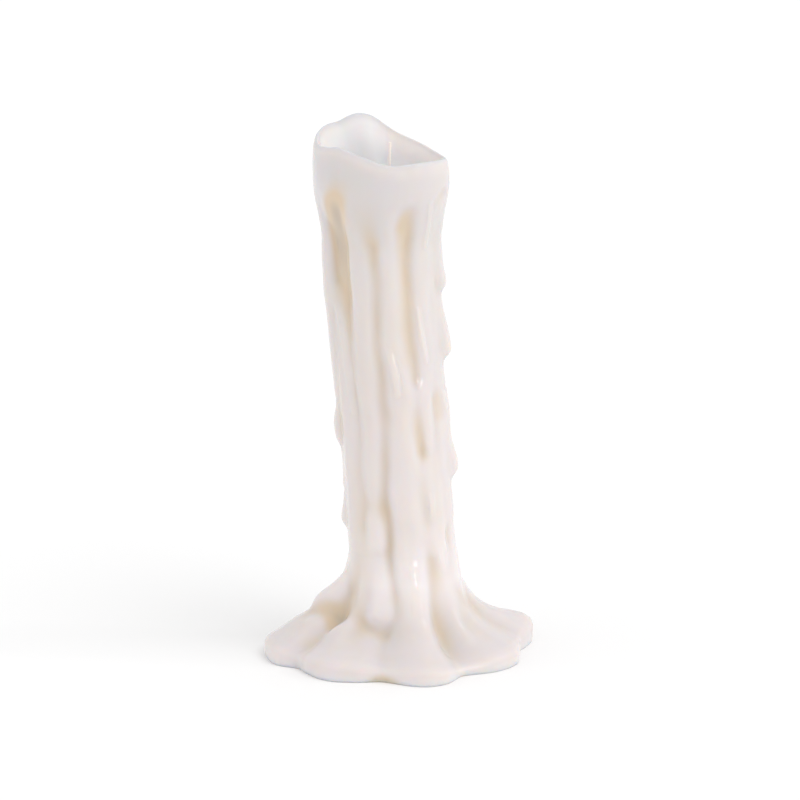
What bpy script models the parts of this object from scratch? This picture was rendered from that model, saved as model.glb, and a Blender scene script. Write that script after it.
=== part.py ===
"""A pillar candle that has burned, leaned and run down into a pool of its own wax.

Two pieces: the wax, which is one body from rim to pool, and the cotton wick that goes through it.
Built in metres, +Z up, standing on Z = 0. Lengths below are in millimetres and turned to metres by MM.

A place on the candle is given the way a chandler would find it on a bench:
  bearing  degrees round the candle, 0 at the front (-Y), positive towards the right (+X)
  reach    distance from the candle's own axis, which leans to the left as it rises
  level    height above the table on the pillar. Below the foot of the pillar, on the wax that slopes
           out to the pool, it is the height less the distance out from the pillar, so that it goes on
           falling all the way to the edge of the pool, which is at about -25
"""

import math

import bmesh
import bpy
from mathutils import Vector

MM = 0.001

# Driving dimensions, mm
LEAN = -7.4  # how far the top has moved to the left
LEAN_FROM, LEAN_TO = 45.0, 175.0  # the heights between which it bends
CORE_REACH = 19.6  # bare wax between the runs
FOOT_HEIGHT = 45.0  # where the pillar ends and the slope to the pool begins
HEAD_REACH = 27.2  # the swollen head under the rim
HEAD_FROM, HEAD_TO = 170.0, 196.0  # the heights over which the pillar swells into the head
SHOULDER_HEIGHT = 196.0  # above this the wax follows the rim
CRATER_FLOOR = 194.0
LOBE_ROUNDING = 9.0  # how far in from the pool's edge the rounding of the edge begins
LOBE_UNDERCUT = 0.5  # how far the edge overhangs the table
WICK_RADIUS = 0.62
WICK_CLEARANCE = 0.3  # all round, so that wick and wax stay two solids
WICK_TOP = 210.0
WICK_FOOT = 0.5
WICK_ASIDE = 3.4  # the wick's top stands this far right of the axis

# Rows of the skin, from the underside to the crater
POINTS_ROUND = 84
EDGE_ROWS, SLOPE_ROWS, PILLAR_ROWS, RIM_ROWS = 5, 12, 41, 9
MERGING = 4  # how sharply runs meet: higher leaves a deeper crease between them
FULLNESS = 0.75  # of a run's back: below 1 it is broader on top and steeper at its sides
RELIEF_COMES_UP = 1 / 7  # the share of the way in from the pool's edge over which the runs rise
RELIEF_TURNS_UP = 1 / 12  # the share of the way out from the pillar over which they turn upwards

# Height of the rim: (bearing, height)
RIM = ((10, 206), (34, 206.3), (66, 205.6), (101, 203.7), (123, 204.3), (136, 205.8), (150, 207.5),
       (164, 209.5), (174, 211.9), (-177, 214.8), (-169, 216.8), (-158, 217.6), (-148, 216.8),
       (-138, 215.5), (-120, 215), (-100, 213.2), (-77, 211), (-57, 211.4), (-42, 212.2), (-30, 211.2),
       (-15, 208.9))
# The section over the rim, from the shoulder to the crater: (share of the way, reach as a share of
# the head's, how far below the rim)
OVER_THE_RIM = ((0.28, 0.992, 4.2), (0.38, 0.973, 1.5), (0.46, 0.948, 0.25), (0.53, 0.925, 0.15),
                (0.61, 0.893, 1.6), (0.71, 0.84, 4.8), (0.84, 0.745, 9.4))
UP_THE_HEAD = (0.15, 0.35)  # (share of the way, share of the climb from the shoulder to the rim)
# Where the wall runs into the floor: (share of the way, reach as a share of the head's, share of the
# rim's height above the floor)
ABOVE_THE_FLOOR = (0.94, 0.62, 0.12)
CRATER_REACH = 0.45  # of the flat floor, as a share of the head's
BURNED_FROM, BURNED_BY = 0.5, 0.7  # the shares of the way between which the burning-out comes in
# How far the crater wall is burned out: (bearing, share of its usual reach)
BURNED_OUT = ((0, 1.0), (60, 1.02), (110, 1.0), (150, 1.0), (173, 1.07), (-169, 0.93), (-150, 0.94),
              (-115, 1.02), (-60, 1.0))

# The pool: (bearing, reach of its edge, height of the wax just inside the edge, share of the foot's
# height that the slope out to the edge takes up, how much that slope bulges, how steeply the rest of
# the height falls off at the pillar)
POOL = (
    (11, 50.5, 9.0, 0.18, 1.3, 3.0), (22, 49.5, 8.0, 0.18, 1.3, 3.1), (36, 43.0, 5.0, 0.12, 1.4, 4.0),
    (55, 48.5, 8.5, 0.18, 1.3, 3.3), (69, 50.6, 9.0, 0.18, 1.3, 3.4), (89, 48.6, 8.5, 0.24, 1.4, 3.6),
    (98, 52.4, 11.0, 0.16, 2.4, 2.6), (109, 57.0, 12.5, 0.10, 2.4, 2.7), (121, 52.0, 10.5, 0.18, 2.0, 4.2),
    (133, 45.0, 6.0, 0.20, 1.6, 5.6), (147, 50.0, 9.0, 0.30, 1.5, 5.6), (161, 43.0, 6.0, 0.20, 1.6, 5.6),
    (177, 49.0, 9.0, 0.28, 1.5, 5.6), (-168, 46.5, 8.0, 0.28, 1.5, 5.6), (-152, 41.5, 5.5, 0.15, 1.6, 5.6),
    (-134, 48.5, 9.0, 0.30, 1.5, 5.6), (-117, 46.0, 7.0, 0.30, 1.5, 5.6), (-104, 50.0, 8.5, 0.38, 1.4, 5.6),
    (-92, 54.6, 8.8, 0.44, 1.2, 4.6), (-78, 54.6, 8.8, 0.44, 1.2, 5.2), (-69, 53.4, 8.8, 0.36, 1.3, 5.0),
    (-60, 47.8, 7.8, 0.24, 1.4, 4.2), (-51, 48.6, 9.0, 0.22, 1.3, 3.8), (-36, 50.4, 9.5, 0.18, 1.3, 3.4),
    (-22, 47.0, 9.0, 0.18, 1.3, 3.2), (-9, 43.4, 7.5, 0.18, 1.4, 3.1),
)
FLARE = 0.75  # how soon that fall leaves the upright: below 1 it starts straight down

# Runs of wax, from where each starts to where it set: (level, bearing, half width, how far it stands out)
RUNS = {
    # left edge
    "left_edge": ((200, -94, 6.2, 3.6), (180, -92, 6.0, 4.4), (168, -88, 6.2, 4.2), (148, -84, 6.4, 3.8),
                  (120, -86, 6.4, 3.1), (105, -87, 6.0, 3.3), (97, -88, 5.2, 4.8), (91, -88, 4.8, 4.4)),
    "left_edge_low": ((90, -94, 6, 2.6), (75, -92, 6, 2.0), (64, -90, 5.6, 2.7), (57, -90, 5, 4.1)),
    "between_the_left_runs": ((152, -75, 6.0, 1.4), (120, -72, 6.4, 2.0), (90, -73, 6.4, 1.9),
                              (60, -74, 6.4, 1.8), (42, -74, 6.0, 1.2)),
    "left_side": ((150, -60, 6.4, 1.2), (130, -54, 7.6, 2.3), (100, -54, 8.0, 2.6), (70, -56, 8.0, 2.5),
                  (48, -58, 8.0, 2.2), (34, -60, 6.4, 1.0)),
    # front, left of the wick
    "front_left": ((190, -18, 9.0, 2.3), (173, -18, 9.0, 2.5), (156, -19, 8.8, 2.8), (143, -20, 8.2, 3.2),
                   (110, -22, 7.4, 3.5), (98, -22, 7.0, 3.4), (86, -24, 6.4, 3.3), (74, -26, 6.0, 3.0),
                   (66, -27, 5.8, 2.3), (58, -26, 5.6, 3.2), (51, -27, 5.0, 2.9)),
    "front_left_foot": ((45, -24, 4.0, 1.4), (38, -21, 4.4, 2.0), (34, -19, 4.8, 2.6), (27, -18, 5.2, 3.2),
                        (20, -17, 5.6, 4.0), (16, -17, 5.6, 4.2)),
    "beside_the_front_left_foot": ((52, -38, 5.0, 2.0), (40, -37, 5.6, 1.8), (28, -34, 6.0, 1.6),
                                   (18, -32, 6.4, 1.2)),
    # front, the longest run: it ends as the front lobe of the pool
    "front": ((190, 10, 8.8, 3.8), (176, 10, 8.6, 3.7), (143, 9, 8.6, 3.6), (123, 10, 8.8, 3.8),
              (107, 11, 8.8, 3.9), (86, 9, 8.6, 3.8), (70, 8, 8.4, 3.8), (53, 12, 8.4, 3.8),
              (37, 13, 7.8, 3.7), (24, 14, 7.4, 3.5), (10, 14, 8.0, 2.8), (-4, 13, 9.0, 1.8),
              (-14, 11, 9, 1.0)),
    # front, right of the wick
    "front_right": ((190, 46, 7.6, 3.8), (174, 45, 7.0, 3.6), (150, 42, 6.8, 3.5), (130, 42, 6.6, 3.6),
                    (120, 42, 6.0, 3.2), (108, 39, 5.4, 2.8), (98, 38, 5.0, 2.8), (90, 40, 4.6, 2.4)),
    "right_face": ((190, 68, 7.0, 3.4), (160, 67, 7.2, 2.8), (125, 65, 7.4, 2.7), (100, 66, 7.4, 2.6),
                   (80, 66, 7.4, 2.6), (60, 66, 7.4, 2.4)),
    "right_low": ((84, 43, 5.4, 2.4), (74, 42, 6.0, 3.0), (64, 43, 6.4, 3.2), (54, 46, 6.2, 3.0),
                  (47, 48, 5.6, 3.2), (41, 53, 5.0, 3.0)),
    "right_bridge": ((83, 31, 5.0, 2.7), (77, 31, 5.0, 2.7), (66, 30, 5.0, 2.3), (56, 31, 5.0, 2.4)),
    "right_fill": ((54, 34, 5.0, 2.6), (45, 37, 5.4, 2.5), (36, 39, 5.8, 2.4), (26, 42, 6.4, 2.2),
                   (16, 46, 7.0, 1.6)),
    "right_edge_fill": ((182, 79, 5.0, 2.2), (120, 79, 5.4, 2.2), (60, 79, 5.4, 2.2)),
    # right edge, three drops one under another
    "right_edge_top": ((190, 90, 6.6, 3.4), (176, 88, 6.4, 3.9), (163, 87, 6.2, 4.8), (155, 87, 5.6, 6.2)),
    "right_edge_middle": ((160, 86, 6, 3.0), (143, 87, 5.8, 4.4), (133, 87, 5.6, 5.9), (127, 87, 5.2, 6.4)),
    "right_edge_low": ((122, 86, 6, 2.0), (104, 87, 6, 3.0), (90, 87, 5.6, 3.4), (82, 87, 5.2, 5.0),
                       (78, 87, 4.8, 5.4)),
    "right_foot": ((62, 76, 6, 1.8), (50, 77, 6.4, 3.0), (40, 78, 6.6, 4.0), (28, 81, 7.0, 3.2),
                   (14, 90, 8.0, 1.4), (0, 100, 9, 0.6)),
    "front_right_foot": ((46, 52, 5.5, 2.8), (38, 56, 6.4, 2.6), (28, 60, 7.0, 2.2), (14, 61, 8.0, 1.3),
                         (0, 63, 8, 0.5)),
    "between_the_right_lobes": ((26, 72, 6.0, 1.0), (12, 78, 7.0, 1.8), (0, 83, 7.5, 1.8), (-10, 87, 8, 1.0)),
    # left feet
    "left_finger": ((32, -76, 4.4, 1.6), (24, -80, 5.0, 3.6), (14, -84, 5.2, 4.8), (7, -86, 4.8, 4.4)),
    "left_foot": ((-4, -84, 7, 0.8), (-12, -86, 8, 1.0)),
    "left_knob": ((13, -44, 4.0, 1.2), (6, -48, 4.6, 2.8), (0, -50, 5.0, 2.6), (-7, -49, 6.4, 1.0)),
    "left_nub": ((5, -70, 3.2, 1.2), (-1, -71, 3.8, 2.2), (-8, -70, 4.6, 1.0)),
    # back
    "back_right": ((190, 116, 7, 3.6), (160, 116, 6, 3.6), (120, 120, 5.8, 3.6), (98, 118, 5.4, 4.6),
                   (92, 118, 5, 4.6)),
    "back_right_low": ((96, 128, 5, 1.6), (70, 128, 5.6, 3.2), (44, 130, 5.6, 3.2), (22, 133, 6, 2.4),
                       (2, 140, 8, 1.8), (-12, 146, 9, 1.0)),
    "back_middle": ((190, 150, 7, 3.6), (165, 150, 6, 3.7), (110, 151, 5.8, 3.4), (60, 154, 5.6, 3.6),
                    (36, 156, 5.4, 4.0), (26, 158, 5.2, 4.2)),
    "back": ((190, -176, 7, 3.6), (170, -176, 6.2, 3.6), (140, -178, 6, 3.8), (128, -178, 5.4, 4.8),
             (122, -178, 5, 4.8)),
    "back_low": ((122, -170, 5, 1.8), (80, -172, 5.8, 3.2), (48, -172, 5.8, 3.8), (26, -174, 6, 3.4),
                 (4, -178, 8, 2.2), (-10, 178, 9, 1.0)),
    "back_left": ((190, -146, 7, 3.8), (160, -146, 6.2, 3.8), (120, -148, 6, 3.5), (70, -146, 5.8, 3.6),
                  (36, -142, 6, 3.6), (14, -138, 7, 2.8), (-6, -135, 9, 1.4)),
    "left_back": ((190, -114, 7, 3.6), (165, -114, 6.2, 3.6), (120, -112, 5.8, 3.3), (84, -114, 5.6, 3.8),
                  (68, -114, 5, 4.6)),
    "left_back_low": ((70, -106, 5, 0.8), (44, -108, 5.6, 1.6), (24, -106, 6.4, 1.4), (4, -102, 8, 1.0)),
}

# Hollows, given as the runs are, with how deep each goes
HOLLOWS = {
    "left_arch": ((192, -43, 4.6, 0.5), (187, -50, 5.6, 1.0), (181, -55, 6.6, 1.2), (175, -57, 6.8, 1.2),
                  (169, -56, 6.8, 1.1), (162, -54, 6.8, 1.1), (154, -51, 6.6, 1.0), (146, -47, 5.6, 0.7),
                  (138, -44, 4.2, 0.4)),
    "front_groove": ((172, -7, 2.4, 0.7), (165, -6, 2.8, 1.2), (150, -5, 2.8, 1.3), (142, -7, 2.6, 1.3),
                     (134, -9, 2.4, 1.2), (118, -8, 2.6, 1.1), (110, -9, 3.2, 1.0), (104, -6, 4.2, 0.9),
                     (99, -6, 4.0, 0.7), (94, -8, 3.4, 0.7), (86, -12, 3.0, 0.8), (70, -15, 3.4, 0.7),
                     (63, -15, 4.0, 0.6), (58, -13, 4.4, 0.5), (50, -9, 3.8, 0.5), (42, -7, 3.0, 0.3)),
    "right_groove": ((187, 25, 4.0, 0.9), (181, 24, 5.0, 1.3), (172, 25, 5.0, 1.2), (165, 26, 5.0, 1.1),
                     (150, 26, 5.0, 1.1), (134, 26, 4.6, 0.9), (126, 26, 4.4, 0.9), (118, 28, 3.8, 0.9)),
    "right_groove_middle": ((105, 25, 3.4, 0.5), (99, 25, 4.0, 0.7), (90, 28, 3.8, 0.7), (84, 30, 3.0, 0.4)),
    "under_the_lip": ((189, 55, 3.0, 0.6), (191, 66, 3.4, 1.0)),
    "under_the_top_drop": ((154, 73, 3.4, 0.4), (151, 73, 3.0, 0.3)),
    "right_oval": ((109, 58, 4.4, 0.7), (102, 60, 4.4, 0.7)),
    "under_the_finger": ((16, -66, 3.0, 0.8), (12, -71, 3.2, 1.6), (7, -76, 3.2, 1.4), (3, -80, 2.8, 0.6)),
    "left_pit": ((13, -57, 3.6, 1.0), (9, -60, 4.0, 2.2), (5, -61, 3.8, 1.8), (0, -62, 3.2, 0.6)),
    "beside_the_foot": ((13, -37, 3.6, 0.5), (9.5, -32, 4.0, 0.8), (7.5, -23, 4.0, 0.8),
                        (6.5, -13, 4.0, 0.8)),
    "right_pit": ((16, 36, 4.6, 0.2), (6, 38, 5.0, 0.4), (-6, 40, 4.4, 0.4)),
}


def clear_scene():
    for thing in list(bpy.data.objects):
        bpy.data.objects.remove(thing)


def smooth_values(stations, at):
    """Each value at that place, on smooth curves through stations of (place, value, value...) that rise."""
    if at <= stations[0][0]:
        return stations[0][1:]
    if at >= stations[-1][0]:
        return stations[-1][1:]
    n = next(k for k, station in enumerate(stations) if station[0] > at) - 1
    here, after = stations[n], stations[n + 1]
    before = stations[n - 1] if n > 0 else here
    beyond = stations[n + 2] if n + 2 < len(stations) else after
    length = after[0] - here[0]
    share = (at - here[0]) / length
    values = []
    for a, b, c, d in zip(before[1:], here[1:], after[1:], beyond[1:]):
        start = (c - a) / (after[0] - before[0]) * length
        end = (d - b) / (beyond[0] - here[0]) * length
        values.append(
            b
            + share * start
            + share**2 * (3 * (c - b) - 2 * start - end)
            + share**3 * (2 * (b - c) + start + end)
        )
    return values


def round_the_candle(stations):
    """Stations of (bearing, value...) in rising order and repeated past both ends, so that they close."""
    once = sorted((station[0] % 360, *station[1:]) for station in stations)
    return [(station[0] + turn, *station[1:]) for turn in (-360, 0, 360) for station in once]


def falling(run):
    """A run's stations in rising order of level, with its bearings unbroken across the back."""
    stations = []
    for level, bearing, half_width, height in sorted(run):
        if stations:
            bearing += 360 * round((stations[-1][1] - bearing) / 360)
        stations.append((level, bearing, half_width, height))
    return stations


RIM_ROUND = round_the_candle(RIM)
POOL_ROUND = round_the_candle(POOL)
BURNED_ROUND = round_the_candle(BURNED_OUT)
RUN_STATIONS = [falling(run) for run in RUNS.values()]
HOLLOW_STATIONS = [falling(run) for run in HOLLOWS.values()]


def ease(share):
    share = min(1.0, max(0.0, share))
    return share * share * (3 - 2 * share)


def axis_x(height):
    """Where the leaning candle's axis is at this height."""
    return LEAN * ease((height - LEAN_FROM) / (LEAN_TO - LEAN_FROM))


def height_of(stations, level, bearing):
    """How far one run stands out at this place: a round back, with a rounded end above and below."""
    lowest, highest = stations[0], stations[-1]
    if not lowest[0] - lowest[2] < level < highest[0] + highest[2]:
        return 0.0
    middle, half_width, height = smooth_values(stations, level)
    turn = (bearing - middle + 180) % 360 - 180
    across = math.radians(turn) * CORE_REACH / half_width
    past_the_end = max(lowest[0] - level, level - highest[0], 0.0) / half_width
    return height * ease(1 - across**2 - past_the_end**2) ** FULLNESS


def standing_out(level, bearing):
    """How far the runs stand out of the bare wax at this place."""
    return sum(height_of(run, level, bearing) ** MERGING for run in RUN_STATIONS) ** (1 / MERGING)


def hollowed(level, bearing):
    return sum(height_of(hollow, level, bearing) for hollow in HOLLOW_STATIONS)


def pillar_reach(height):
    return CORE_REACH + (HEAD_REACH - CORE_REACH) * ease((height - HEAD_FROM) / (HEAD_TO - HEAD_FROM))


def on_the_pillar(height, bearing):
    """A point of the skin on the pillar: (reach, height)."""
    bare = pillar_reach(height)
    clear_of_the_head = 1 - (bare - CORE_REACH) / (HEAD_REACH - CORE_REACH)
    reach = bare + standing_out(height, bearing) * clear_of_the_head - hollowed(height, bearing)
    return reach, height


def pool_edge(share, bearing):
    """Round the edge of the pool: share 0 is on the table, 1 is where the slope takes over."""
    reach, thickness, sloping, bulge, _ = smooth_values(POOL_ROUND, bearing % 360)
    rise = bulge * sloping * (FOOT_HEIGHT - thickness) / (reach - LOBE_ROUNDING / 2 - CORE_REACH)
    last_turn = math.atan2(thickness / 2, LOBE_ROUNDING * rise)
    turn = -math.pi / 2 + (last_turn + math.pi / 2) * share
    inwards = LOBE_UNDERCUT if turn < 0 else LOBE_ROUNDING
    return reach - inwards * (1 - math.cos(turn)), thickness / 2 * (1 + math.sin(turn))


def on_the_slope(share, bearing):
    """On the wax between the pool's edge, share 0, and the foot of the pillar, share 1."""
    sloping, bulge, power = smooth_values(POOL_ROUND, bearing % 360)[2:]
    edge, thickness = pool_edge(1.0, bearing)
    width, fall = edge - CORE_REACH, FOOT_HEIGHT - thickness
    out = max((1 - share) ** 2, 1e-6)
    left = 1 - out**FLARE
    height = thickness + fall * (sloping * (1 - out**bulge) + (1 - sloping) * left**power)
    slope = sloping * bulge * out ** (bulge - 1)
    slope += (1 - sloping) * power * left ** (power - 1) * FLARE * out ** (FLARE - 1)
    slope *= fall / width
    level = height - width * out
    relief = (standing_out(level, bearing) - hollowed(level, bearing)) * ease(share / RELIEF_COMES_UP)
    length = math.hypot(slope, 1)
    reach = CORE_REACH + width * out + relief * slope / length
    return reach, height + relief * ease(out / RELIEF_TURNS_UP) / length


def over_the_rim(share, bearing):
    """From the shoulder, share 0, over the rim and down the crater to its floor, share 1."""
    rim = smooth_values(RIM_ROUND, bearing % 360)[0]
    at, climbed = UP_THE_HEAD
    section = [(0.0, 1.0, SHOULDER_HEIGHT), (at, 1.0, SHOULDER_HEIGHT + climbed * (rim - SHOULDER_HEIGHT))]
    section += [(at, reach, rim - drop) for at, reach, drop in OVER_THE_RIM]
    at, reach, left = ABOVE_THE_FLOOR
    section += [(at, reach, CRATER_FLOOR + left * (rim - CRATER_FLOOR)), (1.0, CRATER_REACH, CRATER_FLOOR)]
    reach, height = smooth_values(section, share)
    burned = smooth_values(BURNED_ROUND, bearing % 360)[0]
    shoulder, _ = on_the_pillar(SHOULDER_HEIGHT, bearing)
    burning = ease((share - BURNED_FROM) / (BURNED_BY - BURNED_FROM))
    return shoulder * reach * (1 + (burned - 1) * burning), height


def wax_rows():
    """The rows of the wax's skin, from its underside to the floor of the crater."""
    rows = [(pool_edge, k / EDGE_ROWS) for k in range(EDGE_ROWS)]
    rows += [(on_the_slope, k / SLOPE_ROWS) for k in range(SLOPE_ROWS)]
    step = (SHOULDER_HEIGHT - FOOT_HEIGHT) / PILLAR_ROWS
    rows += [(on_the_pillar, FOOT_HEIGHT + step * k) for k in range(PILLAR_ROWS)]
    rows += [(over_the_rim, k / RIM_ROWS) for k in range(RIM_ROWS + 1)]
    return rows


def build_wax_skin():
    """The wax as one closed skin over its rows, with a flat cap underneath and on the crater floor."""
    form = bmesh.new()
    bearings = [360 * k / POINTS_ROUND for k in range(POINTS_ROUND)]
    loops = []
    for shape, at in wax_rows():
        loop = []
        for bearing in bearings:
            reach, height = shape(at, bearing)
            loop.append(form.verts.new(place(height, bearing, reach)))
        loops.append(loop)
    for lower, upper in zip(loops, loops[1:]):
        for k in range(POINTS_ROUND):
            following = (k + 1) % POINTS_ROUND
            form.faces.new((lower[k], lower[following], upper[following], upper[k]))
    form.faces.new(list(reversed(loops[0])))
    form.faces.new(loops[-1])
    return form


def place(height, bearing, reach):
    """A point in metres from its place on the candle."""
    turn = math.radians(bearing)
    return Vector((axis_x(height) + reach * math.sin(turn), -reach * math.cos(turn), height)) * MM


def wick_tube(name, radius, foot, top):
    """A tube along the wick's line, which leans as the candle does."""
    curve = bpy.data.curves.new(name, "CURVE")
    curve.dimensions = "3D"
    curve.bevel_depth = radius * MM
    curve.bevel_resolution = 2
    curve.use_fill_caps = True
    spline = curve.splines.new("POLY")
    steps = 14
    spline.points.add(steps)
    for k, point in enumerate(spline.points):
        height = foot + (top - foot) * k / steps
        aside = WICK_ASIDE * max(0.0, height) / WICK_TOP
        point.co = (*(place(height, 90, aside)), 1.0)
    guide = bpy.data.objects.new(name, curve)
    bpy.context.scene.collection.objects.link(guide)
    bpy.context.view_layer.update()
    mesh = bpy.data.meshes.new_from_object(guide.evaluated_get(bpy.context.evaluated_depsgraph_get()))
    bpy.data.objects.remove(guide)
    form = bmesh.new()
    form.from_mesh(mesh)
    bmesh.ops.remove_doubles(form, verts=form.verts, dist=0.001 * MM)
    bmesh.ops.recalc_face_normals(form, faces=form.faces)
    return form


def new_object(name, form):
    mesh = bpy.data.meshes.new(name)
    form.to_mesh(mesh)
    form.free()
    made = bpy.data.objects.new(name, mesh)
    bpy.context.scene.collection.objects.link(made)
    return made


def material(name, colour, roughness, subsurface=0.0):
    made = bpy.data.materials.new(name)
    made.use_nodes = True
    shader = made.node_tree.nodes["Principled BSDF"]
    shader.inputs["Base Color"].default_value = (*colour, 1.0)
    shader.inputs["Roughness"].default_value = roughness
    shader.inputs["Metallic"].default_value = 0.0
    shader.inputs["Subsurface Weight"].default_value = subsurface
    return made


def build_wax():
    wax = new_object("wax_body", build_wax_skin())
    wax.data.shade_smooth()
    bore = new_object("wick_bore", wick_tube("wick_bore", WICK_RADIUS + WICK_CLEARANCE, -2.0, WICK_TOP))
    bore.hide_render = True
    bore.display_type = "WIRE"
    cut = wax.modifiers.new("bore_for_the_wick", "BOOLEAN")
    cut.operation = "DIFFERENCE"
    cut.solver = "EXACT"
    cut.object = bore
    wax.data.materials.append(material("ivory_wax", (0.88, 0.82, 0.76), 0.35, 0.5))


def build_wick():
    wick = new_object("wick", wick_tube("wick", WICK_RADIUS, WICK_FOOT, WICK_TOP))
    wick.data.materials.append(material("waxed_cotton", (0.9, 0.84, 0.8), 0.7))


clear_scene()
build_wax()
build_wick()
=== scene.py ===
"""The looks of a melted pillar candle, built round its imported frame.

The wax is one fine skin in place of the CAD wax: the same pillar, crater, runs and pool, with the
smaller drips, creases and ripples that the solid leaves out. The wick is a plait of three cotton yarns.

Lengths are in millimetres and turned to metres by MM. A place on the candle is given as in the CAD:
  bearing  degrees round the candle, 0 at the front (-Y), positive towards the right (+X)
  reach    distance from the candle's own axis, which leans to the left as it rises
  level    height above the table on the pillar. Below the foot of the pillar, on the wax that slopes
           out to the pool, it is the height less the distance out from the pillar, so that it goes on
           falling all the way to the edge of the pool, which is between -22 and -37
"""

import collections
import functools
import math

import bmesh
import bpy
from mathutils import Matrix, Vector, noise


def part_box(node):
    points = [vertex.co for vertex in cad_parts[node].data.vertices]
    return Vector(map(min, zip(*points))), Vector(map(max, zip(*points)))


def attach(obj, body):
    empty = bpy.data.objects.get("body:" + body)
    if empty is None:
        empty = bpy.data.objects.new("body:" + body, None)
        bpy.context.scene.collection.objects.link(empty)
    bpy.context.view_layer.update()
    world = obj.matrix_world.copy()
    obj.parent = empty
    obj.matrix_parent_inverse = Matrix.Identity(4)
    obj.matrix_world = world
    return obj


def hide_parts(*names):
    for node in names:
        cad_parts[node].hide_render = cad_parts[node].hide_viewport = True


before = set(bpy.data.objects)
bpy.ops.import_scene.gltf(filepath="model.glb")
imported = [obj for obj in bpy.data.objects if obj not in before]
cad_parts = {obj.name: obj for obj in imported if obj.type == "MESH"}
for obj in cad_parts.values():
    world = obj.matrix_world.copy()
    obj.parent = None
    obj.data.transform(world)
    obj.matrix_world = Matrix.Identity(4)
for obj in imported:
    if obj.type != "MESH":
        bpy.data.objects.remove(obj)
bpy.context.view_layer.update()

MM = 0.001

# The candle's main dimensions, mm
LEAN = -7.4  # how far the top has moved to the left
LEAN_FROM, LEAN_TO = 45.0, 175.0  # the heights between which it bends
CORE_REACH = 19.6  # bare wax between the runs
FOOT_HEIGHT = 45.0  # where the pillar ends and the slope to the pool begins
HEAD_REACH = 27.2  # the swollen head under the rim
HEAD_FROM, HEAD_TO = 170.0, 196.0  # the heights over which the pillar swells into the head
SHOULDER_HEIGHT = 196.0  # above this the wax follows the rim
CRATER_FLOOR = 194.0
LOBE_ROUNDING = 9.0  # how far in from the pool's edge the rounding of the edge begins
LOBE_UNDERCUT = 0.5  # how far the edge overhangs the table
BORE_REACH = 0.95  # the wick's bore
WICK_ASIDE = 3.4  # the wick's top stands this far right of the axis
WICK_FOOT, WICK_TOP = (corner[2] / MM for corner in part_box("wick"))

# The yarns of the wick, mm
YARN_RADIUS = 0.34
YARN_ASIDE = 0.28  # from the middle of the plait to the middle of a yarn
YARN_LAY = 4.2  # the length of one turn
YARNS, STEPS_A_TURN = 3, 8  # how many there are, and the points on each of their turns

# Points of the skin round the candle, and its rows from the underside to the crater and down the bore
POINTS_ROUND = 336
EDGE_ROWS, SLOPE_ROWS, PILLAR_ROWS, RIM_ROWS, BORE_ROWS = 12, 44, 186, 36, 10
MERGING = 4  # how sharply runs meet: higher leaves a deeper crease between them
FULLNESS = 0.75  # of a run's back: below 1 it is broader on top and steeper at its sides
RELIEF_COMES_UP = 1 / 7  # the share of the way in from the pool's edge over which the runs rise
RELIEF_TURNS_UP = 1 / 12  # the share of the way out from the pillar over which they turn upwards
SOFTENINGS = 18  # how many times the runs are melted into the wax beside them
SOFTENINGS_BETWEEN = 3  # of those, every so many melts them up and down as well
WAVER, WAVER_LENGTH = 1.8, 13.0  # how far the runs stray, in degrees, and over what length
WAVER_ROUND = 1.3  # how much each run strays by itself: higher lets neighbours part more
SWELLING = 0.16  # how much of its height each run gains and loses on its way
SWELLINGS_APART = 7.1  # how far apart two runs lie in that pattern, so that each swells by itself
OFF_THE_LATTICE = 0.5  # keeps them away from the whole numbers, where the pattern is nothing

# The wax that climbs the wick: (reach round it, height above the crater's floor)
MENISCUS = ((3.2, 0.1), (2.1, 0.5), (1.4, 1.2), (BORE_REACH, 2.2))
BORE_MOUTH = 1.4  # where the bore's rows begin, above the crater's floor

# Height of the rim: (bearing, height)
RIM = ((10, 206), (34, 206.3), (66, 205.6), (101, 203.7), (123, 204.3), (136, 205.8), (150, 207.5),
       (164, 209.5), (174, 211.9), (-177, 214.8), (-169, 216.8), (-158, 217.6), (-148, 216.8),
       (-138, 215.5), (-120, 215), (-100, 213.2), (-77, 211), (-57, 211.4), (-42, 212.2), (-30, 211.2),
       (-15, 208.9))
# The section over the rim, from the shoulder to the crater: (share of the way, reach as a share of
# the head's, how far below the rim)
OVER_THE_RIM = ((0.28, 0.992, 4.2), (0.38, 0.973, 1.5), (0.46, 0.948, 0.25),
                (0.53, 0.925, 0.15), (0.61, 0.893, 1.6), (0.71, 0.84, 4.8), (0.84, 0.745, 9.4))
UP_THE_HEAD = (0.15, 0.35)  # (share of the way, share of the climb from the shoulder to the rim)
# Where the wall runs into the floor: (share of the way, reach as a share of the head's, share of the
# rim's height above the floor)
ABOVE_THE_FLOOR = (0.94, 0.62, 0.12)
CRATER_REACH = 0.45  # of the flat floor, as a share of the head's
BURNED_FROM, BURNED_BY = 0.5, 0.7  # the shares of the way between which the burning-out comes in
# How far the crater wall is burned out: (bearing, share of its usual reach)
BURNED_OUT = ((0, 1.0), (60, 1.02), (110, 1.0), (150, 1.0), (173, 1.07), (-169, 0.93), (-150, 0.94),
              (-115, 1.02), (-60, 1.0))

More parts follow.
